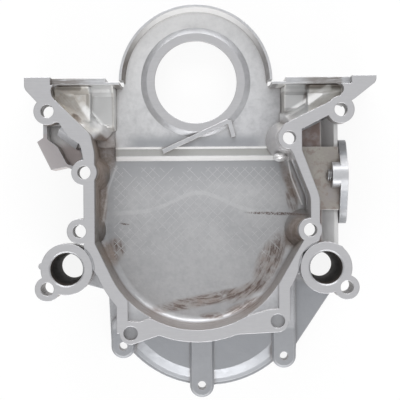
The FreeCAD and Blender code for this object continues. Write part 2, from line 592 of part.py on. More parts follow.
def front_cores():
    """Hollows of the front side: behind the seal plate, the dome and the pan blocks."""
    nose = cylinder((0, 0), SEAL_RING_R + SEAL_RING_SLOPE, -2, COVER_DEPTH)
    lower_y = PLATE_END_Y + 4.0
    pan_y = -PAN_FLANGE_THICK - 2.0
    behind_plate = prism(rounded([
        (PLATE_LEFT - 19.0, pan_y, 3.0), (PLATE_LEFT - 19.0, pan_y - 20.0, 6.0),
        (PLATE_LEFT - 2.0, lower_y, 6.0), (PLATE_RIGHT - 5.0, lower_y, 6.0),
        (PLATE_RIGHT + 16.0, pan_y - 20.0, 6.0), (PLATE_RIGHT + 16.0, pan_y, 3.0)]),
        -1, PLATE_UNDERSIDE)
    half_round = cylinder((0, 0), ARC_R - ARC_SKIRT, -1, PLATE_UNDERSIDE)
    half_round = half_round.common(box(-ARC_R, ARC_R, pan_y - 1, ARC_R, -2, COVER_DEPTH))
    chest = cylinder((CAM_X, CAM_Y), CHEST_R - 8.0, -1, PUMP_RECESS)
    dome = cylinder((DOME_X, DOME_Y), DOME_R - PUMP_FACE_WIDTH, -1, DOME_RECESS)
    between_ears = box(EAR_LEFT[0] + EAR_R + 3, EAR_RIGHT[0] - EAR_R - 3, DOME_Y - DOME_R,
                       CAM_Y - CHEST_R - 11.0, -2, COVER_DEPTH)
    block_core = COVER_DEPTH - PAN_BLOCK_DEPTH
    left_block = box(PAN_LEFT_END + FRONT_WALL, PAN_LEFT_INNER - FRONT_WALL, BOLT_1[1] + 14.5,
                     -PAN_FLANGE_THICK, -1, block_core)
    right_block = box(PAN_RIGHT_INNER + FRONT_WALL, PAN_RIGHT_END - FRONT_WALL, BOLT_4[1] + 18.0,
                      -PAN_FLANGE_THICK, -1, block_core)
    behind_hollow = box(HOLLOW_RISE_X - FRONT_WALL, HOUSING_X - FRONT_WALL, BLOCK_START_Y + 3.0,
                        BOLT_4[1] - 12.0, -1, HOLLOW_FLOOR - 5.0)
    return [behind_plate.cut(nose), half_round.cut(nose), chest, dome.common(between_ears),
            left_block, right_block, behind_hollow]


def drilled():
    """Every machined hole: bolts, seal bore, water ports, blind holes, ears and threads."""
    top = COVER_DEPTH + 1
    cuts = []
    for place in (BOLT_1, BOLT_2, BOLT_3, BOLT_4, BOLT_5, BOLT_6, LUG_LEFT, LUG_RIGHT):
        cuts.append(cylinder(place, BOLT_R, -1, top))
    for port in (PORT_LEFT, PORT_RIGHT):
        mouth = COVER_DEPTH - PORT_MOUTH_DEPTH
        cuts.append(cylinder(port, PORT_MOUTH_R, mouth, top))
        cuts.append(cone(port, PORT_THROAT_R, PORT_MOUTH_R - 0.5, -1, mouth))
        cuts.append(cone(port, PORT_MOUTH_R, PORT_MOUTH_R + PORT_CHAMFER + 1,
                         COVER_DEPTH - PORT_CHAMFER, COVER_DEPTH + 1))
    for blind in (BLIND_LEFT, BLIND_RIGHT):
        cuts.append(cylinder(blind, BLIND_R, COVER_DEPTH - BLIND_DEPTH, top))
    for ear in (EAR_LEFT, EAR_CENTRE, EAR_RIGHT):
        cuts.append(cylinder(ear, EAR_HOLE_R, -1, COVER_DEPTH))
    cuts.append(cylinder((0, 0), SEAL_LIP_R, -1, COVER_DEPTH))
    cuts.append(cylinder((0, 0), SEAL_POCKET_R, -1, SEAL_POCKET_DEPTH))
    for x in PAN_BOLT_X:
        cuts.append(Part.makeCylinder(PAN_THREAD_R, PAN_THREAD_DEPTH + 1,
                                      Vec(x, -PAN_THREAD_DEPTH, PAN_BOLT_Z), Vec(0, 1, 0)))
    for side in (1, -1):
        bolt = (PUMP_BOLT_Y, side * PUMP_BOLT_Z)
        cuts.append(on_side(cylinder(bolt, PUMP_THREAD_R, PUMP_FACE_X - PUMP_THREAD_DEPTH,
                                     PUMP_FACE_X + 1)))
    return cuts


def pump_opening():
    half = PUMP_OPENING_LENGTH / 2 - PUMP_OPENING_HEIGHT / 2
    slot = belt([(-half, 0, PUMP_OPENING_HEIGHT / 2), (half, 0, PUMP_OPENING_HEIGHT / 2)])
    return on_side(prism(slot, CHEST_RIGHT - 14.0, PUMP_FACE_X + 1))


def arc_cuts():
    """The pan seal's groove and the two notches at the feet of the half round."""
    rings = []
    groove = cylinder((0, 0), ARC_R + 1, ARC_GROOVE_BOTTOM, ARC_GROOVE_TOP)
    groove = groove.cut(cylinder((0, 0), ARC_R - ARC_GROOVE_DEPTH, 0, COVER_DEPTH))
    rings.append(groove.common(box(-2 * ARC_R, 2 * ARC_R, 0, 2 * ARC_R, 0, COVER_DEPTH)))
    for side in (-1, 1):
        x0, x1 = sorted((side * (ARC_R - 3.5), side * (ARC_R - 3.5 + PAN_NOTCH_WIDTH)))
        rings.append(box(x0, x1, -PAN_NOTCH_DEPTH, 1, -1, COVER_DEPTH + 1))
    return rings


def port_grooves():
    """The shallow valley where each port's ring meets the rail."""
    grooves = []
    for port, side in ((PORT_LEFT, 1), (PORT_RIGHT, -1)):
        bottom = COVER_DEPTH - PORT_GROOVE_DEPTH
        ring = cylinder(port, PORT_OUTER_R + PORT_GROOVE_WIDTH, bottom, COVER_DEPTH + 1)
        ring = ring.cut(cylinder(port, PORT_OUTER_R, 0, COVER_DEPTH + 2))
        x0, x1 = sorted((port[0] - side * 6.0, port[0] + side * 2 * PORT_OUTER_R))
        grooves.append(ring.common(box(x0, x1, port[1] - 2 * PORT_OUTER_R, port[1] + 2 * PORT_OUTER_R,
                                       0, COVER_DEPTH + 2)))
    return grooves


def corner_pockets():
    bottom = COVER_DEPTH - CORNER_POCKET_DEPTH
    edge_r = CHEST_R - 1.0
    pockets = []
    for blind, side, shift in ((BLIND_LEFT, -1, LEG_STRIP_SHIFT[0]), (BLIND_RIGHT, 1, LEG_STRIP_SHIFT[1])):
        x = blind[0] + shift
        band_x = CAM_X + side * POCKET_JOIN_X
        band_y = CAM_Y - math.sqrt(edge_r ** 2 - POCKET_JOIN_X ** 2)
        pocket = rounded([(x, CAM_Y - 30.0), (x, blind[1] + BLIND_BOSS_R + 1.0),
                          (x - side * 8.0, blind[1] + BLIND_BOSS_R), (band_x, band_y),
                          (band_x, CAM_Y - 50.0)])
        pockets.append(prism(pocket, bottom, COVER_DEPTH + 1))
    return pockets


def chest_cutter():
    """The hollow of the chest, rounded where its walls meet the floor."""
    solid = prism(chest_outline(-PAN_FLANGE_THICK), FLOOR_TOP, COVER_DEPTH + 1)
    foot = [edge for edge in solid.Edges
            if abs(edge.BoundBox.ZMax - FLOOR_TOP) < 1e-6]
    return solid.makeFillet(FLOOR_FILLET, foot)


def timing_cover():
    rim_opening = box(PAN_LEFT_INNER, PAN_RIGHT_INNER, -PAN_FLANGE_THICK - 1, 1,
                      PAN_FLANGE_TOP, COVER_DEPTH + 1)
    arc_mouth = cylinder((0, 0), ARC_R - ARC_RIM_WIDTH, PLATE_TOP, COVER_DEPTH + 1)
    outside = rail_and_walls() + ports() + pump_mounting() + pump_side() + [pointer_pad()]
    body = fuse(*outside)
    body = body.cut([chest_cutter(), rim_opening, arc_mouth, pointer_hollow()])

    envelope = fuse(prism(rim_outline(), -1, COVER_DEPTH), cylinder((0, 0), ARC_R, -1, COVER_DEPTH),
                    cylinder((CAM_X, CAM_Y), CHEST_R + 1, -1, COVER_DEPTH))
    inside = fuse(*(seal_plate() + inside_forms())).common(envelope)
    cups, cores = wells(envelope)
    body = fuse(body, inside, pointer_slope(), *(cups + bolt_bosses()))

    cuts = cores + front_cores() + port_grooves() + corner_pockets() + arc_cuts() + drilled()
    return body.cut(cuts + [pump_opening()]).removeSplitter()


os.makedirs("parts", exist_ok=True)
cover = timing_cover()
cover.exportStep("parts/timing_cover.step")
bounds = cover.BoundBox
print("solids", len(cover.Solids), "valid", cover.isValid())
print("size", round(bounds.XLength, 1), round(bounds.YLength, 1), round(bounds.ZLength, 1))
print("volume cm3", round(cover.Volume / 1000, 1), "mass kg", round(cover.Volume * 2.7e-6, 2))
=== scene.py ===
import math

import bmesh
import bpy
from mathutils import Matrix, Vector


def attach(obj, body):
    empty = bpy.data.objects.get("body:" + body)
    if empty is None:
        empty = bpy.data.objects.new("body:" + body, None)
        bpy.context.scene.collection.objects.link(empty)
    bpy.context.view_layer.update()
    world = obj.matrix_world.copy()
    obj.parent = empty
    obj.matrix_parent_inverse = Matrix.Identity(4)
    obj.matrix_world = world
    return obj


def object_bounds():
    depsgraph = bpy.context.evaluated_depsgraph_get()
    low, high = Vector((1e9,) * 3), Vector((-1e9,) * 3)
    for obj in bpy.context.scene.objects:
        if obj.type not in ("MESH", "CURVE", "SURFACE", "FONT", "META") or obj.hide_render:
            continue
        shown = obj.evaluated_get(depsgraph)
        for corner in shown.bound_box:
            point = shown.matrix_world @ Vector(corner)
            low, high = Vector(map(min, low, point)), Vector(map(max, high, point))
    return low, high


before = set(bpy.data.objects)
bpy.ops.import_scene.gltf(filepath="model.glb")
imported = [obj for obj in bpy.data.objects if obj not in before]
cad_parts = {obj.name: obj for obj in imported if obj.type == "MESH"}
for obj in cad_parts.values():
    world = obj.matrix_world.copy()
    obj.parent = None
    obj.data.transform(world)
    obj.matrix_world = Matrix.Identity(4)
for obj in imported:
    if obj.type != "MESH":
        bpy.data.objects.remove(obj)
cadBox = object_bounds()
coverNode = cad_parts["timing_cover"]
print("frame loaded")


class Wire:
    # one socket of a node tree: sums written on it add their Math nodes
    def __init__(self, tree, socket):
        self.tree = tree
        self.socket = socket

    @staticmethod
    def node(tree, kind, settings=None, sockets=None, out=0):
        made = tree.nodes.new(kind)
        for name, value in (settings or {}).items():
            setattr(made, name, value)
        for key, value in (sockets or {}).items():
            if isinstance(value, Wire):
                tree.links.new(value.socket, made.inputs[key])
            else:
                made.inputs[key].default_value = value
        return Wire(tree, made.outputs[out] if len(made.outputs) else None)

    def other(self, out):  # another outlet of the same node
        return Wire(self.tree, self.socket.node.outputs[out])

    def sums(self, operation, *values):
        return Wire.node(self.tree, "ShaderNodeMath", {"operation": operation}, dict(enumerate(values)))

    def __add__(self, value): return self.sums("ADD", self, value)
    def __radd__(self, value): return self.sums("ADD", value, self)
    def __sub__(self, value): return self.sums("SUBTRACT", self, value)
    def __rsub__(self, value): return self.sums("SUBTRACT", value, self)
    def __mul__(self, value): return self.sums("MULTIPLY", self, value)
    def __rmul__(self, value): return self.sums("MULTIPLY", value, self)
    def __truediv__(self, value): return self.sums("DIVIDE", self, value)
    def __rtruediv__(self, value): return self.sums("DIVIDE", value, self)
    def __pow__(self, value): return self.sums("POWER", self, value)
    def __gt__(self, value): return self.sums("GREATER_THAN", self, value)
    def __lt__(self, value): return self.sums("LESS_THAN", self, value)
    def __abs__(self): return self.sums("ABSOLUTE", self)

    def smooth(self, low, high):  # 0 below low, 1 above high
        return Wire.node(self.tree, "ShaderNodeMapRange", {"interpolation_type": "SMOOTHSTEP"},
                         {0: self, 1: low, 2: high, 3: 0.0, 4: 1.0})

    def between(self, low, high, soft=0.5):
        return self.smooth(low - soft, low + soft) * (1 - self.smooth(high - soft, high + soft))

    def atMost(self, value):
        return self.sums("MINIMUM", self, value)

    def atLeast(self, value):
        return self.sums("MAXIMUM", self, value)

    def clamped(self):  # between 0 and 1
        return self.atLeast(0.0).atMost(1.0)


def mixColour(tree, factor, first, second):
    return Wire.node(tree, "ShaderNodeMix", {"data_type": "RGBA"}, {0: factor, 6: first, 7: second}, 2)


castLook = {
    "cast": (0.50, 0.505, 0.525, 1),
    "castDark": (0.40, 0.405, 0.42, 1),
    "machined": (0.495, 0.495, 0.51, 1),
    "machinedDark": (0.435, 0.435, 0.45, 1),
    "floor": (0.42, 0.425, 0.44, 1),
    "floorLine": (0.56, 0.565, 0.575, 1),
    # darker plate grey, also painted shade under the seal ring
    "pumpPlate": (0.29, 0.30, 0.32, 1),
    "panFace": (0.34, 0.34, 0.35, 1),
    # dark brown, painted shade on the inner walls
    "shadedWallBrown": (0.150, 0.125, 0.105, 1),
    # almost white, painted light in the deep pan corners
    "corner": (0.86, 0.855, 0.83, 1),
    "panBoss": (0.56, 0.565, 0.57, 1),
    # brown in the pan corners, also painted shade near the rails
    "cornerBrown": (0.42, 0.36, 0.30, 1),
    "ledge": (0.37, 0.37, 0.35, 1),
    # white, a painted highlight on bright slopes, ridges, the bank crowns and the floor lump's top
    "paintedHighlight": (0.98, 0.98, 0.98, 1),
    # light grey, a painted highlight on edges, the seal plate and the far slope, with some wear on the edges
    "edge": (0.80, 0.80, 0.80, 1),
    # brown cast skin, also painted shade in the hollows
    "brownAndShade": (0.27, 0.205, 0.190, 1),
    "paleBrown": (0.66, 0.59, 0.58, 1),
    "greyCast": (0.62, 0.60, 0.60, 1),
    "greenCast": (0.42, 0.405, 0.37, 1),
    "padCast": (0.42, 0.39, 0.395, 1),
    # near black, painted shade inside the ports
    "holeShade": (0.030, 0.022, 0.018, 1),
    # oily film, also painted shade in crevices, creases and at the flange strip's far ends
    "film": (0.125, 0.095, 0.072, 1),
    "tan": (0.30, 0.235, 0.200, 1),
    "rust": (0.105, 0.062, 0.048, 1),
    "metallic": 0.45,
    "faceMetallic": 0.85,
    "roughness": 0.40,
    # metres
    "edgeWidth": 0.0011,
    "edgeRadius": 0.0007,
    "creviceReach": 0.004,
    # mm
    "grainSize": 1.1,
    "waveHeight": 0.30,
    # oily film and rusty streaks inside: x, y, half length, half width, turn in degrees, strength
    "films": [
        (-73, -57, 21, 11, 80, 0.55),
        (-75, -86, 30, 4.5, 90, 0.7),
        (-69, -136, 12, 5, 115, 0.5),
        (78, -119, 15, 8, 70, 0.75),
        (75, -80, 20, 5, 112, 0.55),
        (-92.5, -29.5, 5, 2.6, -42, 0.8),
    ],
    "streaks": [
        (-64, -132, 10, 7, 100, 0.9),
        (58, -142, 25, 10, 64, 1.0),
        (8, -173, 52, 5.5, 11, 1.0),
        (38, -178, 20, 4, 22, 0.9),
        (12, -186, 11, 3, 2, 0.9),
        (42, -165, 22, 6, 28, 1.0),
        (76, -92, 14, 5, 100, 0.7),
    ],
    "scratches": [
        (64, -104.8, 25, 1.3, -2, 1.0),
        (-57.6, -112.4, 4, 0.8, -8, 1.0),
    ],
    # thin ridges painted as bright lines, a painted highlight: from x, y to x, y, half width, strength
    "ridges": [
        (72.8, -60.6, 75.9, -76.1, 0.5, 0.6),
        (75.9, -76.1, 84.2, -97.6, 0.5, 0.6),
        (-63.8, -66.2, -70.8, -85.6, 0.7, 0.18),
        (-70.8, -85.6, -74.6, -110.0, 0.7, 0.18),
    ],
    # painted highlights on the crowns of the banks, and painted shade in dark creases, in the pan corners
    "bankHighlights": [
        (-88, -19, -86, -22.5, 2.2, 0.5),
        (-86, -22.5, -70, -41, 2.6, 1.0),
        (102, -8.5, 86, -18, 2.4, 1.0),
        (86, -18, 71, -27, 2.2, 0.9),
        (71, -27, 60, -32, 2.0, 0.6),
        (-82, -8.2, -68, -8.2, 1.0, 0.6),
        (71, -8.6, 84, -8.6, 0.9, 0.5),
    ],
    # painted shade along the creases
    "creaseShadows": [
        (-84, -12, -84, -24, 1.1, 0.5),
        (-65.2, -10, -65.0, -38, 0.6, 0.35),
        (68.4, -10, 68.4, -25, 1.0, 0.4),
        (86, -11, 84, -19, 1.0, 0.5),
        (87, -6.4, 112, -6.4, 1.8, 0.8),
        (-112, -6.4, -90, -6.6, 1.5, 0.6),
    ],
}


# places on the casting, in mm
castPlaces = {
    "chestY": -95.0,
    "roundEndY": -119.6,
    "domeEdge": (-194, -190),
    "cornerTop": (46, 49),
    "portMiddle": -0.2,
    "portReach": 98.3,
    "portY": -145.4,
    "portRadius": (12.9, 13.6),
    "cone": (71.5, -46.0),
    "coneRadius": 18.0,
    "knob": (65.6, -60.6),
    "knobHalf": (5.6, 4.0),
    # a point on each rail of the pan corners, and the way from it into the corner
    "leftRail": (-113.5, -9.7, 0.734, 0.679),
    "rightRail": (120.1, -10.3, -0.454, 0.891),
}

def metalFinish(name, look, places):
    material = bpy.data.materials.new(name)
    material.use_nodes = True
    tree = material.node_tree
    tree.nodes.clear()

    def node(kind, settings=None, sockets=None, out=0):
        return Wire.node(tree, kind, settings, sockets, out)

    def noise(size, detail=3.0, roughness=0.5, shift=0.0, vector=None):
        moved = node("ShaderNodeVectorMath", {"operation": "ADD"},
                     {0: vector or place, 1: (shift, shift, shift)})
        return node("ShaderNodeTexNoise", None, {"Vector": moved, "Scale": 1.0 / size, "Detail": detail,
                                                 "Roughness": roughness})

    def paint(base, factor, name):
        return mixColour(tree, factor, base, look[name])

    def spots(name, firm):  # soft ellipses from one of the lists above
        whole = None
        for sx, sy, length, width, turn, strength in look[name]:
            cosine, sine = math.cos(math.radians(turn)), math.sin(math.radians(turn))
            along = ((x - sx) * cosine + (y - sy) * sine) / length
            across = ((y - sy) * cosine - (x - sx) * sine) / width
            spot = (1 - (along * along + across * across).smooth(firm, 1.25)) * strength
            whole = spot if whole is None else whole.atLeast(spot)
        return whole

    def ridges(name):
        whole = None
        for x0, y0, x1, y1, width, strength in look[name]:
            run = math.hypot(x1 - x0, y1 - y0)
            cosine, sine = (x1 - x0) / run, (y1 - y0) / run
            along = (x - x0) * cosine + (y - y0) * sine
            beyond = along - along.atLeast(0.0).atMost(run)
            across = (y - y0) * cosine - (x - x0) * sine
            off = (across * across + beyond * beyond) / (width * width)
            line = (1 - off.smooth(0.0, 2.6)) * strength
            whole = line if whole is None else whole.atLeast(line)
        return whole

    def distance(px, py):
        dx, dy = x - px, y - py
        return (dx * dx + dy * dy) ** 0.5

    def beyondRail(rail):
        rx, ry, inX, inY = rail
        return (y - ry) * inY + (x - rx) * inX

    coordinates = node("ShaderNodeTexCoord", out="Object")
    place = node("ShaderNodeVectorMath", {"operation": "SCALE"}, {0: coordinates, "Scale": 1000.0})
    x = node("ShaderNodeSeparateXYZ", None, {0: place})
    y, z = x.other(1), x.other(2)
    normal = node("ShaderNodeNewGeometry", out="Normal")
    nx = node("ShaderNodeSeparateXYZ", None, {0: normal})
    ny, nz = nx.other(1), nx.other(2)

    # where each part of the casting is
    up = nz.smooth(0.9, 0.985)
    side = 1 - abs(nz).smooth(0.2, 0.75)
    gasket = up * z.smooth(59.2, 59.8)
    crankR = distance(0.0, 0.0)
    sealRing = (1 - crankR.smooth(39.0, 39.6)) * z.smooth(11.8, 12.2) * up
    front = (1 - nz.smooth(-0.985, -0.9)) * (1 - z.smooth(0.2, 0.6))
    facing = nx * x + ny * (y - places["chestY"])
    inward = 1 - facing.smooth(-8.0, 4.0)
    aboveDome = y.smooth(*places["domeEdge"])
    onFloor = (1 - z.smooth(6.0, 7.6)) * aboveDome
    onDome = (1 - aboveDome) * (1 - z.smooth(11.4, 12.4))
    ledge = y.between(-58.2, -53.0, 0.3) * z.between(8.0, 9.0, 0.2) * up
    tilted = 1 - ny.smooth(-0.45, -0.2)
    slope = (y.between(-62.2, -58.6, 0.3) + y.between(-52.8, -51.2, 0.2)) * z.between(5.6, 9.7, 0.1) * tilted
    arcSlope = (crankR.between(55.6, 58.6, 0.2) * z.between(10.2, 20.6) * y.smooth(0, 3)
                * abs(ny).smooth(0.2, 0.9))
    panFace = ny.smooth(0.6, 0.9) * y.smooth(-3, -1)
    leftRail = beyondRail(places["leftRail"])
    fromRail = leftRail.atMost(beyondRail(places["rightRail"]))
    underRim = (1 - z.smooth(*places["cornerTop"])) * (1 - panFace)
    corner = (y.smooth(-44, -38) * abs(x).smooth(62, 65) * fromRail.smooth(-3, -1) * underRim
              * z.smooth(10.5, 12.0) * (1 - abs(x).smooth(116, 119)))
    flangeStrip = y.smooth(-6.2, -5.4) * abs(x).between(66, 112, 1) * (1 - panFace) * (1 - z.smooth(56, 58))
    cone = (distance(*places["cone"]).between(0, places["coneRadius"], 0.6) * z.between(10, 56, 2)
            * (1 - up))
    outerEdge = ((-56.5 - y) * 0.385).atLeast(0.0).atMost(13.5) + 75.2
    outerRight = nx.smooth(0.5, 0.8) * x.smooth(98, 102)
    rightSide = ((x > outerEdge) * (y < (x * 0.5 - 81.6)) * y.between(-134, -28)
                 * z.smooth(7.0, 9.0) * (1 - z.smooth(40.0, 41.0)) * (1 - outerRight))
    block = rightSide * y.between(-101.5, -53)
    litFarSlope = rightSide * x.smooth(96.5, 99.0) * (1 - block)
    outerLeft = (nx * -1).smooth(0.5, 0.8) * (1 - x.smooth(-98, -94))
    leftHollow = ((1 - x.smooth(-88, -85)) * y.between(-73, -34) * (1 - z.smooth(37.0, 38.6))
                  * (1 - outerLeft))
    pointerPad = (1 - x.smooth(-98, -95)) * y.between(-72, -42) * z.between(39.6, 40.4, 0.2)
    portX = abs(x - places["portMiddle"]) - places["portReach"]
    portY = y - places["portY"]
    portR = (portX * portX + portY * portY) ** 0.5
    inPort = (1 - portR.smooth(*places["portRadius"])) * (1 - z.smooth(56.0, 58.6))

    broad = noise(34.0, 4.0, 0.6)
    middle = noise(6.0, 5.0, 0.6, 31.0)
    fine = noise(look["grainSize"], 3.0, 0.6, 57.0)
    patches = noise(2.6, 4.0, 0.65, 91.0)
    tone = (broad - 0.5) * 1.5 + (middle - 0.5) * 1.5 + (patches - 0.5) * 1.0
    alongRail = node("ShaderNodeCombineXYZ", None, {0: x * 0.10, 1: fromRail, 2: z * 0.2})
    drawn = noise(1.6, 5.0, 0.7, 17.0, alongRail)

    colour = mixColour(tree, (0.42 - tone * 1.1).clamped(), look["cast"], look["castDark"])
    flowLine = y - (16 * x.sums("EXPONENT", (x - 2) * (x - 2) / -800) - 104)
    band = (1 - abs(flowLine).smooth(0.7, 2.4)) * x.between(-68, 48, 6)
    shade = flowLine.between(-26, -3, 5) * x.between(-50, 36, 14)
    lit = tone * 0.8 + band * 0.35 - shade * 0.15 - y.smooth(-92, -64) * 0.6 + 0.3
    floorTone = mixColour(tree, lit.clamped(), look["floor"], look["floorLine"])
    colour = mixColour(tree, onFloor, colour, floorTone)
    # the floor darker towards the upper end and the left side
    darkerFloorEnds = (y.smooth(-86, -64) * 0.45).atLeast((1 - x.smooth(-72, -50)) * 0.4)
    colour = paint(colour, onFloor * darkerFloorEnds, "pumpPlate")
    # the seal plate painted lighter towards the upper left: painted light
    sealPlate = z.between(9.0, 10.6, 0.2) * up * y.smooth(-52.5, -51)
    plateLightGradient = ((y + 45) * 0.006 - x * 0.003 + 0.12 + tone * 0.25).clamped()
    colour = paint(colour, sealPlate * plateLightGradient, "edge")
    gusset = x.smooth(70, 72) * (1 - y.smooth(-160, -156)) * (1 - z.smooth(9, 11))
    legs = z.between(11, 13.6) * (1 - y.smooth(-197, -194))
    colour = paint(colour, (onDome * 0.85).atLeast(gusset * 0.8).atLeast(legs * 0.7), "pumpPlate")
    # the inner walls painted dark brown: painted shade, less towards the right and the round end, with a tan
    # tint there
    insideWall = side * inward * z.between(6.5, 58.5, 2.0) * (1 - corner) * (1 - cone * 0.8)
    wallTone = 0.86 - x.smooth(-60, 40) * 0.30 - (1 - y.smooth(-165, -135)) * 0.30 + (middle - 0.5) * 0.7
    colour = paint(colour, insideWall * wallTone.atLeast(0.0), "shadedWallBrown")
    colour = paint(colour, insideWall * (1 - y.smooth(-165, -135)) * 0.35, "tan")
    # the pan corners painted almost white: painted light
    colour = paint(colour, corner * (0.9 + tone * 0.5).clamped(), "corner")
    bosses = x.between(-82.6, -65.2, 0.8) + x.between(70.0, 87.4, 0.8)
    colour = paint(colour, corner * bosses * y.smooth(-38, -34) * 0.9, "panBoss")
    brownish = corner * (x + 92).between(-18, 8, 5) * y.between(-30, -8, 5)
    colour = paint(colour, brownish * (0.35 + tone * 0.9).clamped(), "cornerBrown")
    # drawn streaks in the corners, with painted shade near the rail
    railShade = 1 - fromRail.smooth(1.0, 9.0)
    streaksAndRailShade = ((drawn - 0.5) * 2.6 + railShade * 0.6).clamped()
    grainShare = 0.6 - x.smooth(-20, 20) * 0.3
    colour = paint(colour, corner * (1 - bosses * y.smooth(-38, -34)) * streaksAndRailShade * grainShare, "cornerBrown")
    colour = paint(colour, cone * (drawn * 1.2).atMost(1.0) * 0.8, "greyCast")
    # the pan flange's strip in streaks: dark ones at its far ends are painted shade, light ones painted
    # highlight
    alongFlange = node("ShaderNodeCombineXYZ", None, {0: x * 0.07, 1: y * 1.2, 2: z * 0.3})
    stripes = noise(1.2, 4.0, 0.7, 41.0, alongFlange)
    farStripShade = flangeStrip * abs(x).smooth(76, 92)
    colour = paint(colour, farStripShade * stripes.smooth(0.40, 0.52) * 0.6, "film")
    colour = paint(colour, flangeStrip * (1 - stripes.smooth(0.34, 0.46)) * 0.25, "paintedHighlight")
    colour = paint(colour, ledge * 0.7, "ledge")
    # the bright slopes painted white: painted highlight
    colour = paint(colour, slope.atLeast(arcSlope * 0.7), "paintedHighlight")
    # painted shade on the plate below the seal ring
    underRingShade = y.between(-54, -43, 5) * abs(x).between(-1, 52, 8) * up * z.between(9.0, 10.6, 0.2)
    colour = paint(colour, underRingShade * 0.85, "pumpPlate")
    # the right side's hollow painted brown: brown skin with painted shade
    colour = paint(colour, rightSide * (0.85 + tone * 0.8).clamped(), "brownAndShade")
    # the far slope painted pale: painted light
    colour = paint(colour, litFarSlope * 0.85, "greyCast")
    colour = paint(colour, rightSide * (1 - up) * 0.6, "greyCast")
    colour = paint(colour, litFarSlope * 0.9, "edge")
    colour = paint(colour, block * (0.75 + tone * 1.1).atLeast(0.1).atMost(1.0), "greenCast")
    colour = paint(colour, block * middle.smooth(0.50, 0.62) * 0.55, "brownAndShade")
    # the left hollow painted pale brown, its upper part painted light, and painted shade near the rail
    colour = paint(colour, leftHollow * 0.9, "paleBrown")
    colour = paint(colour, leftHollow * y.smooth(-54, -46) * 0.9, "paintedHighlight")
    shaded = (1 - leftRail.smooth(-26, -14)) * x.smooth(-97, -86) * (1 - y.smooth(-60, -52))
    colour = paint(colour, leftHollow * (shaded + tone * 0.4).clamped() * 0.8, "brownAndShade")
    pumpFlange = x.smooth(110.2, 111.0) * (1 - y.between(-87, -60, 1)) * y.between(-114, -45)
    colour = paint(colour, pumpFlange * 0.8, "pumpPlate")
    colour = paint(colour, pointerPad * 0.9, "padCast")

    # darkened crevices, painted shade with dirt; then smooth oily film, then a tan tint with rusty lines
    # that follow the round end
    low = 1 - z.smooth(44, 50)
    blotch = noise(7.0, 6.0, 0.7, 73.0)
    openness = node("ShaderNodeAmbientOcclusion", {"samples": 6}, {"Distance": look["creviceReach"]}, 1)
    creviceShadeAndDirt = (1 - openness.smooth(0.45, 0.85)) * low * z.smooth(1.0, 3.0)
    film = (spots("films", 0.1) * low * (blotch * 1.3 + 0.35)).atMost(1.0)
    colour = paint(colour, creviceShadeAndDirt * 0.35, "film")
    colour = paint(colour, (film * 1.6).atMost(1.0) * 0.65, "tan")
    colour = paint(colour, film * blotch.smooth(0.4, 0.6) * 0.8, "film")
    turned = x.sums("ARCTAN2", y - places["roundEndY"], x)
    roundEndR = distance(0.0, places["roundEndY"])
    alongWall = node("ShaderNodeCombineXYZ", None, {0: turned * 8.0, 1: roundEndR, 2: z * 0.2})
    lines = noise(1.9, 5.0, 0.75, 11.0, alongWall)
    reach = spots("streaks", 0.1) * low
    tint = (reach * (blotch * 2.4 - 0.55).atLeast(0.0)).atMost(1.0)
    rust = (reach * lines.smooth(0.46, 0.59) * blotch.smooth(0.30, 0.52)).atMost(1.0)
    colour = paint(colour, tint * 0.7, "tan")
    colour = paint(colour, rust * 0.85, "rust")
    scratch = spots("scratches", 0.5) * low * fine.smooth(0.35, 0.6)
    colour = paint(colour, scratch * 0.85, "rust")
    dirt = film.atLeast(rust).atLeast(scratch)
    # painted highlights along the thin ridges, low down
    colour = paint(colour, ridges("ridges") * (1 - z.smooth(30, 40)), "paintedHighlight")
    # the top of the floor lump painted white: painted highlight
    offX = (x - places["knob"][0]) / places["knobHalf"][0]
    offY = (y - places["knob"][1]) / places["knobHalf"][1]
    knob = (1 - (offX * offX + offY * offY).smooth(0.7, 1.1)) * z.smooth(22, 26)
    colour = paint(colour, knob, "paintedHighlight")
    inCorner = corner.atLeast(y.smooth(-46, -44) * fromRail.smooth(-1, 1)) * underRim
    # painted shade along the corner creases
    colour = paint(colour, ridges("creaseShadows") * inCorner, "film")
    # painted highlight on the crowns of the banks
    bank = ridges("bankHighlights") * inCorner * z.smooth(10, 12)
    colour = paint(colour, bank * (0.8 + tone * 0.4).clamped(), "paintedHighlight")
    # edges painted lighter, away from crevices and dirt: painted highlight, with wear
    softNormal = node("ShaderNodeBevel", {"samples": 4}, {"Radius": look["edgeWidth"]})
    likeness = node("ShaderNodeVectorMath", {"operation": "DOT_PRODUCT"}, {0: softNormal, 1: normal}, 1)
    edge = (1 - likeness.smooth(0.82, 0.985)) * openness.smooth(0.5, 0.8) * (1 - inPort) * (1 - dirt)
    colour = paint(colour, edge * 0.55, "edge")

    scuffs = noise(0.9, 4.0, 0.7, 5.0, node("ShaderNodeMapping", None, {
        "Vector": place, "Rotation": (0, 0, 0.5), "Scale": (0.08, 1.0, 1.0)}))
    machined = gasket.atLeast(sealRing).atLeast(front)
    faceTone = ((scuffs - 0.5) * 1.4 + 0.35 + (middle - 0.5) * 0.6).clamped()
    faceColour = mixColour(tree, faceTone, look["machined"], look["machinedDark"])
    colour = mixColour(tree, machined, colour, faceColour)
    colour = paint(colour, panFace, "panFace")
    # the insides of the ports painted near black: painted shade
    colour = paint(colour, inPort, "holeShade")

    roughness = (look["roughness"] + (middle - 0.5) * 0.35 - machined * 0.04 + dirt * 0.15 + slope * 0.3
                 + inPort * 0.4 - bank * 0.08)
    faceShare = machined * (look["faceMetallic"] - look["metallic"])
    metallic = (look["metallic"] + faceShare - (dirt + inPort + slope + arcSlope) * 0.45
                + corner * 0.1 + bank * 0.4 + knob * 0.3)

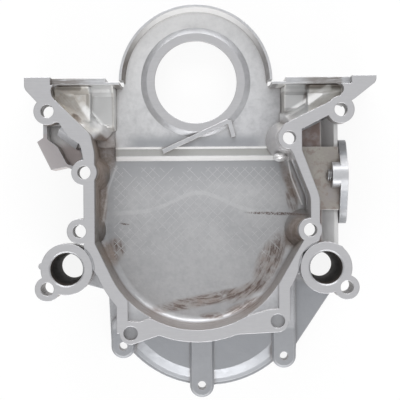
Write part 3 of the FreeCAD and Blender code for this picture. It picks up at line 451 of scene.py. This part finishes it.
    rough = 1 - machined
    height = ((broad - 0.5) * look["waveHeight"] * 2 + (middle - 0.5) * 0.16 + (fine - 0.5) * 0.045
              + band * 0.06 * onFloor) * rough + (scuffs - 0.5) * 0.006 * machined - dirt * 0.03
    edges = node("ShaderNodeBevel", {"samples": 6}, {"Radius": look["edgeRadius"]})
    bump = node("ShaderNodeBump", None, {
        "Strength": 1.0, "Distance": 0.001, "Height": height, "Normal": edges})
    shader = node("ShaderNodeBsdfPrincipled", None, {
        "Base Color": colour, "Roughness": roughness.atMost(1.0), "Metallic": metallic.atLeast(0.0),
        "Normal": bump})
    node("ShaderNodeOutputMaterial", None, {"Surface": shader})
    return material


castMetal = metalFinish("castAluminium", castLook, castPlaces)
for slot in coverNode.material_slots:
    slot.material = castMetal
print("casting painted")


def geometryTree(name, inputs):
    tree = bpy.data.node_groups.new(name, "GeometryNodeTree")
    tree.interface.new_socket(name="Geometry", in_out="OUTPUT", socket_type="NodeSocketGeometry")
    for label, kind in inputs.items():
        tree.interface.new_socket(name=label, in_out="INPUT", socket_type="NodeSocket" + kind)
    source = tree.nodes.new("NodeGroupInput")
    given = {label: Wire(tree, source.outputs[label]) for label in inputs}
    return tree, given


def endTree(tree, geometry, material):
    real = Wire.node(tree, "GeometryNodeRealizeInstances", None, {0: geometry})
    dressed = Wire.node(tree, "GeometryNodeSetMaterial", None, {"Geometry": real, "Material": material})
    Wire.node(tree, "NodeGroupOutput", None, {0: dressed})


def makePiece(name, tree, values):
    piece = bpy.data.objects.new(name, bpy.data.meshes.new(name))
    bpy.context.scene.collection.objects.link(piece)
    modifier = piece.modifiers.new("rule", "NODES")
    modifier.node_group = tree
    for item in tree.interface.items_tree:
        if item.in_out == "INPUT" and item.name in values:
            modifier[item.identifier] = values[item.name]
    bpy.context.view_layer.update()
    evaluated = piece.evaluated_get(bpy.context.evaluated_depsgraph_get())
    mesh = bpy.data.meshes.new_from_object(evaluated)
    piece.modifiers.remove(modifier)
    piece.data = mesh
    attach(piece, "root")
    print(name, len(mesh.polygons), "faces")
    return piece


threadSizes = {
    "pan": {"Radius": 0.0033, "Pitch": 0.00141, "Turns": 12.0},
    "pump": {"Radius": 0.0040, "Pitch": 0.00159, "Turns": 9.0},
    "panPlaces": ((-0.0736, 0.0, 0.017), (0.0786, 0.0, 0.017)),
    "pumpPlaces": ((0.1164, -0.075, 0.042), (0.1164, -0.075, 0.010)),
    "stepsPerTurn": 28,
    "crestShare": 0.46,     # of the pitch
    "shortOfMouth": 0.6,    # turns
}


def threadTree(material):
    tree, given = geometryTree("threadRule", {"Radius": "Float", "Pitch": "Float", "Turns": "Float",
                                              "Place": "Vector", "Turn": "Vector"})
    helix = Wire.node(tree, "GeometryNodeCurveSpiral", None, {
        "Resolution": threadSizes["stepsPerTurn"], "Rotations": given["Turns"],
        "Start Radius": given["Radius"], "End Radius": given["Radius"],
        "Height": given["Turns"] * given["Pitch"]})
    crest = Wire.node(tree, "GeometryNodeCurvePrimitiveCircle", {"mode": "RADIUS"},
                      {"Resolution": 4, "Radius": given["Pitch"] * threadSizes["crestShare"]})
    ridge = Wire.node(tree, "GeometryNodeCurveToMesh", None, {0: helix, 1: crest, "Fill Caps": True})
    placed = Wire.node(tree, "GeometryNodeTransform", None, {
        "Geometry": ridge, "Translation": given["Place"], "Rotation": given["Turn"]})
    endTree(tree, placed, material)
    return tree


threads = threadTree(castMetal)
for kind, turn, axis in (("pan", (-math.pi / 2, 0, 0), 1), ("pump", (0, math.pi / 2, 0), 0)):
    sizes = threadSizes[kind]
    for number, mouth in enumerate(threadSizes[kind + "Places"], 1):
        start = list(mouth)
        start[axis] -= sizes["Pitch"] * (sizes["Turns"] + threadSizes["shortOfMouth"])
        makePiece(kind + "Thread" + str(number), threads, {**sizes, "Place": tuple(start), "Turn": turn})


hatchSizes = {
    "Pitch": 0.0052, "Count": 30, "Bar Width": 0.00036, "Bar Height": 0.00010,
    "Centre": (0.002, -0.095, 0.00553), "Half Length": 0.067, "Top": -0.066, "Bottom": -0.138, "Seed": 7,
}

hatchRule = {
    "overlap": 1.02,        # a bar's length over the pitch
    "patchScale": 34.0,
    "chanceShare": 0.25,
    "limit": 0.54,          # bars stand where patches and chance pass it
}

def hatchTree(material):
    tree, given = geometryTree("floorHatchRule", {
        "Pitch": "Float", "Count": "Int", "Bar Width": "Float", "Bar Height": "Float", "Centre": "Vector",
        "Half Length": "Float", "Top": "Float", "Bottom": "Float", "Seed": "Int"})

    def node(kind, settings=None, sockets=None, out=0):
        return Wire.node(tree, kind, settings, sockets, out)

    span = given["Pitch"] * (given["Count"] - 1)
    net = node("GeometryNodeMeshGrid", None, {"Size X": span, "Size Y": span, "Vertices X": given["Count"],
                                              "Vertices Y": given["Count"]})
    turned = node("GeometryNodeTransform", None, {"Geometry": net, "Translation": given["Centre"],
                                                  "Rotation": (0, 0, math.pi / 4)})
    px = node("ShaderNodeSeparateXYZ", None, {0: node("GeometryNodeInputPosition")})
    py = px.other(1)
    inside = (abs(px) < given["Half Length"]) * (py < given["Top"]) * (py > given["Bottom"])
    kept = node("GeometryNodeDeleteGeometry", {"domain": "POINT"},
                {"Geometry": turned, "Selection": 1 - inside})
    patches = node("ShaderNodeTexNoise", None, {"Scale": hatchRule["patchScale"], "Detail": 2.0})
    parts = []
    for angle, shift in ((math.pi / 4, 0), (-math.pi / 4, 50)):
        size = node("ShaderNodeCombineXYZ", None, {
            0: given["Pitch"] * hatchRule["overlap"], 1: given["Bar Width"], 2: given["Bar Height"]})
        line = node("GeometryNodeMeshCube", None, {"Size": size})
        chance = node("FunctionNodeRandomValue", {"data_type": "FLOAT"}, {"Seed": given["Seed"] + shift}, 1)
        parts.append(node("GeometryNodeInstanceOnPoints", None, {
            "Points": kept, "Instance": line, "Rotation": (0, 0, angle),
            "Selection": (chance * hatchRule["chanceShare"] + patches) > hatchRule["limit"]}))
    both = node("GeometryNodeJoinGeometry")
    for part in parts:
        tree.links.new(part.socket, both.socket.node.inputs[0])
    endTree(tree, both, material)
    return tree


def plainMetal(name, colour, roughness):
    material = bpy.data.materials.new(name)
    material.use_nodes = True
    tree = material.node_tree
    shader = tree.nodes["Principled BSDF"]
    coordinates = Wire.node(tree, "ShaderNodeTexCoord", out="Object")
    speck = Wire.node(tree, "ShaderNodeTexNoise", None, {
        "Vector": coordinates, "Scale": 160.0, "Detail": 3.0})
    tree.links.new(mixColour(tree, speck, colour, tuple(c * 0.8 for c in colour[:3]) + (1,)).socket,
                   shader.inputs["Base Color"])
    shader.inputs["Metallic"].default_value = 0.9
    shader.inputs["Roughness"].default_value = roughness
    return material


hatchMetal = plainMetal("floorHatchMetal", (0.62, 0.625, 0.64, 1), 0.40)
makePiece("floorHatch", hatchTree(hatchMetal), hatchSizes)


# smooth casting blends in the two pan corners, over the plainer solids below them, in mm
cornerShapes = {
    "left": {
        "from": (-109.0, -46.0), "to": (-61.0, -5.2),
        "railStart": (-113.5, -9.7), "railEnd": (-79.5, -46.5), "side": 1,
        "reach": (12.0, 11.5), "edge": (35.0, 29.0), "top": (43.0, 37.0), "fall": 9.0,
        "shelf": (-82.0, -31.7), "boss": (-83.0, -64.4, -36.0), "outerX": -104.0,
    },
    "right": {
        "from": (66.5, -36.0), "to": (117.5, -5.2),
        "railStart": (120.1, -10.3), "railEnd": (72.0, -34.8), "side": -1,
        "reach": (9.5, 7.0), "edge": (35.0, 29.0), "top": (43.0, 37.0), "fall": 6.0,
        "shelf": (87.0, -25.7), "boss": (69.2, 88.0, -24.0), "outerX": 112.0,
    },
    "step": 1.0,
    "lift": 0.5,            # above the solids
    "base": 8.4,
    "bottom": 6.6,
    "shelfTop": 33.0,
    "bossTop": 25.5,
    "flangeY": -5.0,
    "flangeRoot": 8.0,      # reach of the fillet at the pan flange, and its rise
    "flangeRise": 11.0,
    "outerRise": 9.0,       # of the shelf towards the rail's end
    "softness": 1.8,
    "underRail": 2.5,       # how far the blends run in under the rail
}


def softStep(value, low, high):
    share = min(max((value - low) / (high - low), 0.0), 1.0)
    return share * share * (3 - 2 * share)


def cornerHeight(px, py, shape):
    look = cornerShapes
    (ax, ay), (bx, by) = shape["railStart"], shape["railEnd"]
    run = math.hypot(bx - ax, by - ay)
    ux, uy = (bx - ax) / run, (by - ay) / run
    share = min(max(((px - ax) * ux + (py - ay) * uy) / run, 0.0), 1.0)
    away = shape["side"] * ((py - ay) * ux - (px - ax) * uy)
    reach, edge, top = (a + (b - a) * share for a, b in (shape["reach"], shape["edge"], shape["top"]))
    if away < reach:
        bank = top - (top - edge) * max(away, -3.0) / reach
    else:
        bank = edge + (look["base"] - edge) * softStep(away, reach - 1.5, reach + shape["fall"])
    beyond = (px - ax) * ux + (py - ay) * uy - run
    bank += (look["base"] - bank) * softStep(beyond, -1.0, 6.0)

    outer = shape["side"]
    root = softStep(py, look["flangeY"] - look["flangeRoot"], look["flangeY"])
    shelfX, shelfY = shape["shelf"]
    shelf = (look["shelfTop"] + look["flangeRise"] * root
             + look["outerRise"] * softStep(outer * (shape["outerX"] - px), -1.0, 5.0))
    shelfShare = softStep(outer * (shelfX - px), -2.5, 0.5) * softStep(py - shelfY, -3.0, 0.0)
    shelf = look["base"] + (shelf - look["base"]) * shelfShare
    bossLeft, bossRight, bossEnd = shape["boss"]
    boss = look["bossTop"] + look["flangeRise"] * root
    bossShare = (softStep(px - bossLeft, -1.8, 0.2) * softStep(bossRight - px, -1.8, 0.2)
                 * softStep(py - bossEnd, -3.5, 0.3))
    boss = look["base"] + (boss - look["base"]) * bossShare
    soft = look["softness"]
    total = sum(math.exp((height - look["base"]) / soft) for height in (bank, shelf, boss))
    return look["base"] + soft * math.log(total / 3 + 1e-9) + look["lift"] * min(1.0, total - 3.0)


def makeCorner(name, shape, material):
    (x0, y0), (x1, y1) = shape["from"], shape["to"]
    (ax, ay), (bx, by) = shape["railStart"], shape["railEnd"]
    columns = int((x1 - x0) / cornerShapes["step"]) + 1
    rows = int((y1 - y0) / cornerShapes["step"]) + 1
    points = []
    for level in range(2):
        for row in range(rows):
            for column in range(columns):
                py = y0 + (y1 - y0) * row / (rows - 1)
                railX = ax + (py - ay) * (bx - ax) / (by - ay)
                if shape["side"] > 0:
                    left, right = max(x0, railX - cornerShapes["underRail"]), x1
                else:
                    left, right = x0, min(x1, railX + cornerShapes["underRail"])
                px = left + (right - left) * column / (columns - 1)
                pz = cornerHeight(px, py, shape) if level else cornerShapes["bottom"]
                points.append((px / 1000, py / 1000, pz / 1000))

    def at(level, row, column):
        return (level * rows + row) * columns + column

    faces = []
    for row in range(rows - 1):
        for column in range(columns - 1):
            square = (row, column), (row, column + 1), (row + 1, column + 1), (row + 1, column)
            faces.append([at(1, r, c) for r, c in square])
            faces.append([at(0, r, c) for r, c in reversed(square)])
    rim = ([(0, c) for c in range(columns)] + [(r, columns - 1) for r in range(1, rows)]
           + [(rows - 1, c) for c in range(columns - 2, -1, -1)] + [(r, 0) for r in range(rows - 2, 0, -1)])
    for here, after in zip(rim, rim[1:] + rim[:1]):
        faces.append([at(0, *here), at(0, *after), at(1, *after), at(1, *here)])
    mesh = bpy.data.meshes.new(name)
    mesh.from_pydata(points, [], faces)
    mesh.polygons.foreach_set("use_smooth", [True] * len(mesh.polygons))
    mesh.materials.append(material)
    mesh.update()
    piece = bpy.data.objects.new(name, mesh)
    bpy.context.scene.collection.objects.link(piece)
    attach(piece, "root")
    print(name, len(mesh.polygons), "faces")


makeCorner("leftPanCorner", cornerShapes["left"], castMetal)
makeCorner("rightPanCorner", cornerShapes["right"], castMetal)


# lump that casting left at the foot of the right wall, in metres
knobShape = {"centre": (0.0656, -0.0604, 0.025), "radii": (0.0054, 0.0036, 0.0100)}


def makeKnob(name, shape, material):
    ball = bmesh.new()
    bmesh.ops.create_uvsphere(ball, u_segments=32, v_segments=20, radius=1.0)
    for corner in ball.verts:
        corner.co = [c + r * v for c, r, v in zip(shape["centre"], shape["radii"], corner.co)]
    mesh = bpy.data.meshes.new(name)
    ball.to_mesh(mesh)
    ball.free()
    mesh.polygons.foreach_set("use_smooth", [True] * len(mesh.polygons))
    mesh.materials.append(material)
    piece = bpy.data.objects.new(name, mesh)
    bpy.context.scene.collection.objects.link(piece)
    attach(piece, "root")


makeKnob("floorKnob", knobShape, castMetal)
print("floor knob placed")

stageLook = {
    "floorSize": 4.0,
    "floorGap": 0.0003,
    "floorColour": (0.93, 0.93, 0.93, 1),
    "cameraWhite": 0.9,         # the rest of the floor's tone is its shading, which keeps the shadow
    "worldLevel": 0.58,
    "sideLevel": 0.35,          # how dark the room is to the left and right
    "sideSpan": (0.2, 0.75),
    "lampSize": (1.8, 0.7),
    "lampPower": 20.0,
    "lampPlaces": ((0.0, 1.15, 0.55), (0.0, -1.35, 0.55)),
    "lampAim": (0.0, -0.0936, 0.03),
}


def makeFloor():
    half = stageLook["floorSize"] / 2
    mesh = bpy.data.meshes.new("floor")
    square = [(-half, -half, 0), (half, -half, 0), (half, half, 0), (-half, half, 0)]
    mesh.from_pydata(square, [], [(0, 1, 2, 3)])
    floor = bpy.data.objects.new("floor", mesh)
    floor.location.z = cadBox[0][2] - stageLook["floorGap"]
    bpy.context.scene.collection.objects.link(floor)
    material = bpy.data.materials.new("paleFloor")
    material.use_nodes = True
    tree = material.node_tree
    tree.nodes.clear()
    path = Wire.node(tree, "ShaderNodeLightPath", out="Is Camera Ray")
    seen = path * stageLook["cameraWhite"] + path.other("Is Glossy Ray") + path.other("Is Transmission Ray")
    matt = Wire.node(tree, "ShaderNodeBsdfDiffuse", None, {"Color": stageLook["floorColour"]})
    white = Wire.node(tree, "ShaderNodeEmission", None, {"Color": (1, 1, 1, 1), "Strength": 1.0})
    both = Wire.node(tree, "ShaderNodeMixShader", None, {0: seen.atMost(1.0), 1: matt, 2: white})
    Wire.node(tree, "ShaderNodeOutputMaterial", None, {"Surface": both})
    mesh.materials.append(material)


def makeWorld():
    world = bpy.data.worlds.new("studio")
    bpy.context.scene.world = world
    world.use_nodes = True
    tree = world.node_tree
    tree.nodes.clear()
    path = Wire.node(tree, "ShaderNodeLightPath", out="Is Camera Ray")
    glossy = path.other("Is Glossy Ray")
    clear = (path + path.other("Is Transmission Ray")).atMost(1.0)
    across = abs(Wire.node(tree, "ShaderNodeSeparateXYZ", None, {
        0: Wire.node(tree, "ShaderNodeTexCoord", out="Generated")}))
    room = 1 - across.smooth(*stageLook["sideSpan"]) * (1 - stageLook["sideLevel"])
    level = clear + glossy * room + (1 - clear) * (1 - glossy) * stageLook["worldLevel"]
    light = Wire.node(tree, "ShaderNodeBackground", None, {"Color": (1, 1, 1, 1), "Strength": level})
    Wire.node(tree, "ShaderNodeOutputWorld", None, {"Surface": light})


def makeLamps():
    aim = stageLook["lampAim"]
    for number, place in enumerate(stageLook["lampPlaces"], 1):
        lamp = bpy.data.lights.new("softbox" + str(number), "AREA")
        lamp.shape = "RECTANGLE"
        lamp.size, lamp.size_y = stageLook["lampSize"]
        lamp.energy = stageLook["lampPower"]
        holder = bpy.data.objects.new(lamp.name, lamp)
        holder.location = place
        tilt = math.atan2(place[1] - aim[1], place[2] - aim[2])
        holder.rotation_euler = (-tilt, 0, 0)
        bpy.context.scene.collection.objects.link(holder)


cameraView = {
    "place": (0.0028, -0.0936, 1.010),
    "roll": -0.4,           # degrees
    "lens": 113.1,
    "sensor": 36.0,
}


def makeCamera():
    data = bpy.data.cameras.new("camera")
    data.sensor_width = cameraView["sensor"]
    data.lens = cameraView["lens"]
    camera = bpy.data.objects.new("camera", data)
    camera.location = cameraView["place"]
    camera.rotation_euler = (0, 0, math.radians(cameraView["roll"]))
    bpy.context.scene.collection.objects.link(camera)
    bpy.context.scene.camera = camera


makeFloor()
makeWorld()
makeLamps()
makeCamera()
bpy.context.scene.view_settings.view_transform = "Standard"
print("stage set")
